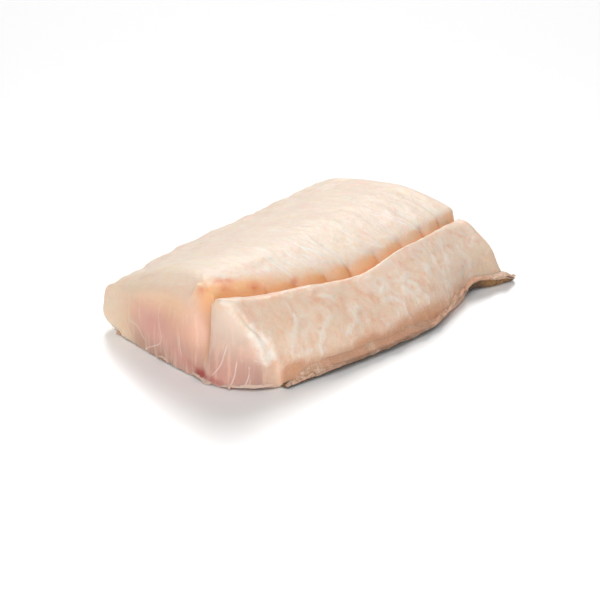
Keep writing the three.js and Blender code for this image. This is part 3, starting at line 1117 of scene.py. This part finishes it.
def film_finish(colours):
    """The side muscle: flesh under a thin torn film, with a salmon band over the skin."""
    f = Finish("halibut_side")
    here = f.millimetres()
    grain, _ = f.layer("grain")
    _, (rosy, salmon, beige) = f.layer("zones")
    _, (blood, seam, on_cut) = f.layer("marks")
    _, (film, streak, edge) = f.layer("films")
    _, (depth, ridge_highlight, near_seam) = f.layer("depths")
    _, (net, low, _) = f.layer("details")

    mottle = f.noise(here, 12, 3)
    cloud = f.noise(here, 4.5, 3, 0.4)
    tint = f.noise(here, 3.1, 3, 1.2)
    curds = f.noise(here, 1.8, 3, 0.8)
    speck = f.noise(here, 0.7, 2, 0.3)
    threads = f.noise(f.stretched(grain, (0.7, 0.1, 0.12)), 1, 3, 0.3)
    layering = f.noise(f.stretched(here, (0.5, 0.6, 0.1)), 1, 3, 0.4)

    fuzz = salmon * (0.55 + cloud * 0.9) + (curds - 0.5) * salmon
    torn = (streak * 1.25 + (curds - 0.5) * 0.9).soft(0.1, 1.2) * streak.soft(0.02, 0.4)
    outside = f.over(
        colours.side,
        (mottle.soft(0.35, 0.65), colours.side_pale),
        ((cloud + film * 0.2).soft(0.42, 0.78) * 0.7, colours.film),
        (cloud.soft(0.45, 0.3) * 0.6, colours.side_deep),
        (tint.soft(0.5, 0.66) * 0.5, colours.beige),
        ((curds + film * 0.12).soft(0.5, 0.8) * 0.35, colours.film_white),
        (net * (0.4 + curds * 0.8) * 0.55, colours.film_white),
        (beige * 0.6, colours.beige),
        (fuzz.soft(0.0, 1.0) * 0.92, colours.salmon),
        (torn * 0.5, colours.film_white),
        # painted highlight along the film's lip by the groove
        (ridge_highlight * (0.4 + curds * 0.9), colours.lip),
    )
    inside = f.over(
        colours.side_cut,
        (mottle.soft(0.3, 0.7), colours.cut),
        # painted shade: low on the near cut the side muscle turns to the darker glassy colour
        (low * 0.95, colours.glassy),
        # painted light: the milky colour brightens the side muscle's near cut high up, besides the real
        # beige far cut
        (beige * 0.95, colours.milky_and_light),
        (rosy * (0.5 + layering * 0.5), colours.rosy),
        (layering.soft(0.5, 0.7) * 0.3, colours.side_pale),
        (seam_line(seam, near_seam, cloud), colours.seam),
    )
    rag = (edge + (cloud - 0.5) * 0.9 + (curds - 0.5) * 0.9).soft(0.05, 1.0) * edge.soft(0.0, 0.3)
    colour = f.over(
        outside,
        (on_cut * (0.2 + depth * 0.8), inside),
        (rag * 0.9, colours.film_white),
        (blood, colours.blood),
    )
    return f.surface({
        "Base Color": colour,
        "Roughness": 0.56 - curds * 0.16,
        "Subsurface Weight": 0.5,
        "Subsurface Radius": FLESH_RADII,
        "Subsurface Scale": 0.003,
        "IOR": FLESH_INDEX,
        "Coat Weight": 0.04 + curds.soft(0.45, 0.7) * 0.25,
        "Coat Roughness": 0.2,
        "Normal": f.bump(threads * 0.3 + curds * (0.3 + film * 0.6) + speck * 0.35),
    })


def skin_finish(colours):
    """Skin: pale fat at the rim, mottled olive brown below, with painted shade that darkens the rim to tan
    and brown.
    """
    f = Finish("halibut_skin")
    here = f.millimetres()
    _, (tanned, up, split_and_shade) = f.layer("skins")
    _, (tip, flap, shred) = f.layer("ends")
    mottle = f.noise(here, 9, 3)
    scale = f.add("ShaderNodeTexVoronoi", {"feature": "DISTANCE_TO_EDGE"}, {"Vector": here, "Scale": 0.9})
    scales = Number(f, scale.outputs[0])
    curds = f.noise(here, 1.4, 3, 0.5)
    speck = f.noise(here, 0.6, 2)
    outer = f.over(
        colours.skin,
        (mottle.soft(0.4, 0.62), colours.skin_dark),
        (scales.soft(0.16, 0.02) * 0.5, colours.skin_dark),
        (flap * curds.soft(0.35, 0.6) * 0.85, colours.tan),
    )
    # painted shade turns the rim tan where the second skins number is low
    tan = f.over(colours.rim_tan, ((up + (curds - 0.5) * 0.3).soft(0.15, 0.95), colours.salmon_pale))
    fat = f.over(
        colours.rim,
        (curds.soft(0.38, 0.66), colours.rim_white),
        (mottle.soft(0.4, 0.6) * 0.6, colours.salmon_pale),
        (tanned * (mottle + 0.4).soft(0.5, 0.9) * 0.95, tan),
        (tip * 0.35, colours.rim_white),
        (tip * flap * speck.soft(0.62, 0.72) * 0.7, colours.skin),
        # painted shade: dark in the split between the rim's two layers
        (split_and_shade.soft(0.2, 0.9) * 0.9, colours.skin_dark),
        (shred, colours.shred),
    )
    return f.surface({
        # where the painted shade is deepest the rim takes the outer brown
        "Base Color": f.mix((up + (curds - 0.5) * 0.12).soft(0.02, 0.12), outer, fat),
        "Roughness": 0.6,
        "Subsurface Weight": 0.3,
        "Subsurface Radius": SKIN_RADII,
        "Subsurface Scale": 0.0015,
        "Coat Weight": 0.05,
        "Coat Roughness": 0.25,
        "Normal": f.bump(curds * 0.7 + speck * 0.2 + scales.soft(0.0, 0.2) * 0.3),
    })


def floor_finish(colours):
    f = Finish("studio_floor")
    return f.surface({"Base Color": (*colours.floor, 1.0), "Roughness": 0.32, "Specular IOR Level": 0.5})


# ---------------------------------------------------------------------------
# Sizes and colours
# ---------------------------------------------------------------------------


def length(name, description, default, top=5.0):
    return bpy.props.FloatProperty(
        name=name, description=description, default=default * MM, min=0.0, max=top * MM,
        unit="LENGTH", subtype="DISTANCE", precision=5,
    )


def colour(name, description, default):
    return bpy.props.FloatVectorProperty(
        name=name, description=description, default=default, min=0.0, max=1.0, size=3, subtype="COLOR",
    )


class FilletSizes(bpy.types.PropertyGroup):
    unevenness: length("Unevenness", "How far the surface swells and dips", 0.35)
    flake_relief: length("Flake relief", "Step from one flake to the next on top", 0.32)
    cut_rounding: length("Cut rounding", "How softly the crown turns into the near cut", 7.5, top=12.0)
    fold_height: length("Fold height", "How far the film's folds stand up", 0.38)
    rim_height: length("Rim height", "Thickness of the skin's swollen rim", 2.1)


class FilletColours(bpy.types.PropertyGroup):
    flesh: colour("Flesh", "Outside of the main muscle", (0.92, 0.73, 0.59))
    flesh_pale: colour("Pale flesh", "Its paler patches", (0.94, 0.77, 0.61))
    flesh_deep: colour("Deep flesh", "Between the threads", (0.9, 0.65, 0.51))
    blush: colour("Blush", "Pink clouds on top", (0.93, 0.67, 0.55))
    thread: colour("Threads", "White threads and flake edges", (0.95, 0.83, 0.74))
    amber: colour("Amber", "Orange flesh along the groove", (0.97, 0.49, 0.215))
    # the deep amber is painted shade in the creases between the flakes
    amber_crease_shade: colour("Deep amber", "Creases between the flakes by the groove", (0.72, 0.27, 0.1))
    amber_cut: colour("Amber cut", "Along the septum on the near cut", (0.66, 0.32, 0.17))
    bruise: colour("Bruise", "Red spots by the groove", (0.78, 0.26, 0.13))
    cut: colour("Cut flesh", "Where the knife went", (0.89, 0.56, 0.43))
    cut_warm: colour("Warm cut flesh", "Its warmer patches", (0.88, 0.53, 0.38))
    side_cut: colour("Side muscle's cut", "Where the knife went through it", (0.64, 0.44, 0.35))
    # the glassy colour is painted shade low on the cuts
    glassy: colour("Glassy flesh", "Low on the near cut", (0.43, 0.255, 0.2))
    # the milky colour is also painted light high on the side muscle's near cut
    milky_and_light: colour("Milky flesh", "Side muscle's cut, high up", (0.86, 0.69, 0.57))
    rosy: colour("Rosy flesh", "The glassy pink core", (0.77, 0.41, 0.34))
    # the cream colour is also painted light high on the near cut
    cream_and_light: colour("Cream flesh", "Towards the thin edge", (0.99, 0.705, 0.45))
    seam: colour("Seams", "White sheets between the flakes", (0.96, 0.86, 0.8))
    blood: colour("Blood", "At the foot of the septum", (0.44, 0.07, 0.065))
    side: colour("Side flesh", "Side muscle under its film", (0.88, 0.575, 0.41))
    side_pale: colour("Pale side flesh", "Its paler patches", (0.92, 0.66, 0.49))
    side_deep: colour("Deep side flesh", "Between the film's curds", (0.88, 0.53, 0.38))
    film: colour("Film", "Thin film over the side muscle", (0.93, 0.74, 0.59))
    film_white: colour("White film", "Where the film is thick or torn", (0.97, 0.87, 0.78))
    # the bright lip colour is a painted highlight along the groove
    lip: colour("Film lip", "Thin bright fold along the groove", (0.97, 0.8, 0.68))
    beige: colour("Beige facet", "Flesh by the far corner", (0.86, 0.66, 0.48))
    salmon: colour("Salmon band", "Flesh just above the skin", (0.71, 0.37, 0.22))
    skin: colour("Skin", "Outside of the skin", (0.2, 0.12, 0.06))
    skin_dark: colour("Dark skin", "Its darker patches", (0.06, 0.035, 0.02))
    tan: colour("Tan skin", "Paler skin under the loose corner", (0.42, 0.2, 0.06))
    rim: colour("Rim", "Fat at the skin's edge", (0.56, 0.36, 0.24))
    rim_white: colour("White rim", "Its paler ridges", (0.78, 0.62, 0.5))
    # the tan rim colour also carries the painted shade on the rim near the front
    rim_tan: colour("Tan rim", "Its darker underside near the front", (0.31, 0.175, 0.11))
    salmon_pale: colour("Pink rim", "Where the flesh tinges it", (0.7, 0.38, 0.24))
    shred: colour("Shreds", "Torn edges along the near cut", (0.74, 0.5, 0.4))
    floor: colour("Floor", "The studio floor", (0.98, 0.98, 0.98))


# ---------------------------------------------------------------------------
# Operators
# ---------------------------------------------------------------------------


class FILLET_OT_main_muscle(bpy.types.Operator):
    """Builds the thick main muscle with its flakes and cut faces"""
    bl_idname = "fillet.main_muscle"
    bl_label = "Main muscle"

    def execute(self, context):
        scene = context.scene
        bm, layers = main_muscle_mesh(scene.fillet_sizes)
        finished(bm, "main_muscle", layers, flesh_finish(scene.fillet_colours), "flesh")
        return {"FINISHED"}


class FILLET_OT_side_muscle(bpy.types.Operator):
    """Builds the side muscle with its torn film and salmon band"""
    bl_idname = "fillet.side_muscle"
    bl_label = "Side muscle"

    def execute(self, context):
        scene = context.scene
        bm, layers = side_muscle_mesh(scene.fillet_sizes)
        finished(bm, "side_muscle", layers, film_finish(scene.fillet_colours), "flesh")
        return {"FINISHED"}


class FILLET_OT_skin(bpy.types.Operator):
    """Builds the skin with its rim and loose corner, and the shreds along the near cut"""
    bl_idname = "fillet.skin"
    bl_label = "Skin"

    def execute(self, context):
        scene = context.scene
        material = skin_finish(scene.fillet_colours)
        bm, layers = skin_mesh(scene.fillet_sizes)
        finished(bm, "brown_skin", layers, material, "skin")
        bm, layers = shred_mesh()
        finished(bm, "shreds", layers, material)
        return {"FINISHED"}


# The stage, in metres and degrees
FLOOR_HALF = 4.0
FLOOR_DROP = 0.0001
WORLD_STRENGTH = 0.13
LAMPS = (
    # name, place, size, power in watts; all aimed at the fillet
    ("key", (0.9, 0.76, 1.02), 0.8, 17.2),
    ("overhead", (-0.95, -0.5, 1.05), 1.0, 13.4),
    ("fill", (-0.9, -1.15, 0.2), 0.7, 5.9),
)
LAMP_TARGET = (0, 0, 0.01)
AZIMUTH = -49
ELEVATION = 25
LENS = 165.6            # in millimetres, for a camera a metre away
SENSOR_WIDTH = 36
VIEW_CENTRE = (70, 0.4, 12)     # in the form's millimetres
VIEW_RIGHT = -1.45              # and from there to the middle of the view
VIEW_UP = -9.06


class FILLET_OT_stage(bpy.types.Operator):
    """Sets up the floor, the lights and the camera"""
    bl_idname = "fillet.stage"
    bl_label = "Stage"

    def execute(self, context):
        scene = context.scene
        scene.view_settings.view_transform = "Standard"
        build_floor(scene)
        build_lights(scene)
        build_camera(scene)
        return {"FINISHED"}


def build_floor(scene):
    bm = bmesh.new()
    bmesh.ops.create_grid(bm, x_segments=1, y_segments=1, size=FLOOR_HALF)
    bmesh.ops.translate(bm, verts=bm.verts, vec=(0, 0, -FLOOR_DROP))
    mesh = bpy.data.meshes.new("floor")
    bm.to_mesh(mesh)
    bm.free()
    mesh.materials.append(floor_finish(scene.fillet_colours))
    floor = bpy.data.objects.new("floor", mesh)
    scene.collection.objects.link(floor)


def build_lights(scene):
    world = bpy.data.worlds.new("studio")
    scene.world = world
    world.use_nodes = True
    background = world.node_tree.nodes["Background"]
    background.inputs["Color"].default_value = (1, 1, 1, 1)
    background.inputs["Strength"].default_value = WORLD_STRENGTH
    for name, place, size, power in LAMPS:
        lamp = bpy.data.lights.new(name, "AREA")
        lamp.energy = power
        lamp.size = size
        holder = bpy.data.objects.new(name, lamp)
        holder.matrix_world = aimed(Vector(place), Vector(LAMP_TARGET))
        scene.collection.objects.link(holder)


def aimed(place, target):
    """A placement that looks from a place to a target."""
    turn = (target - place).to_track_quat("-Z", "Y")
    return Matrix.Translation(place) @ turn.to_matrix().to_4x4()


def build_camera(scene):
    azimuth, elevation = math.radians(AZIMUTH), math.radians(ELEVATION)
    back = Vector((
        math.sin(azimuth) * math.cos(elevation),
        -math.cos(azimuth) * math.cos(elevation),
        math.sin(elevation),
    ))
    right = Vector((math.cos(azimuth), math.sin(azimuth), 0))
    up = back.cross(right)
    target = (Vector(SHIFT + VIEW_CENTRE) + right * VIEW_RIGHT + up * VIEW_UP) * MM
    turn = Matrix((right, up, back)).transposed().to_4x4()
    camera = bpy.data.cameras.new("camera")
    camera.lens = LENS
    camera.sensor_width = SENSOR_WIDTH
    holder = bpy.data.objects.new("camera", camera)
    holder.matrix_world = Matrix.Translation(target + back) @ turn
    scene.collection.objects.link(holder)
    scene.camera = holder


class FILLET_PT_panel(bpy.types.Panel):
    """Lists the fillet's sizes, colours and pieces"""
    bl_idname = "FILLET_PT_panel"
    bl_label = "Halibut Fillet"
    bl_space_type = "VIEW_3D"
    bl_region_type = "UI"
    bl_category = "Fillet"

    def draw(self, context):
        layout = self.layout
        for group in (context.scene.fillet_sizes, context.scene.fillet_colours):
            box = layout.box()
            for name in group.__annotations__:
                box.prop(group, name)
        for step in STEPS:
            layout.operator(step.bl_idname)


STEPS = (FILLET_OT_main_muscle, FILLET_OT_side_muscle, FILLET_OT_skin, FILLET_OT_stage)
CLASSES = (FilletSizes, FilletColours, *STEPS, FILLET_PT_panel)


def register():
    for cls in CLASSES:
        bpy.utils.register_class(cls)
    bpy.types.Scene.fillet_sizes = bpy.props.PointerProperty(type=FilletSizes)
    bpy.types.Scene.fillet_colours = bpy.props.PointerProperty(type=FilletColours)


def unregister():
    del bpy.types.Scene.fillet_colours
    del bpy.types.Scene.fillet_sizes
    for cls in reversed(CLASSES):
        bpy.utils.unregister_class(cls)


def main():
    register()
    bpy.ops.fillet.main_muscle()
    bpy.ops.fillet.side_muscle()
    bpy.ops.fillet.skin()
    bpy.ops.fillet.stage()


if __name__ == "__main__":
    main()
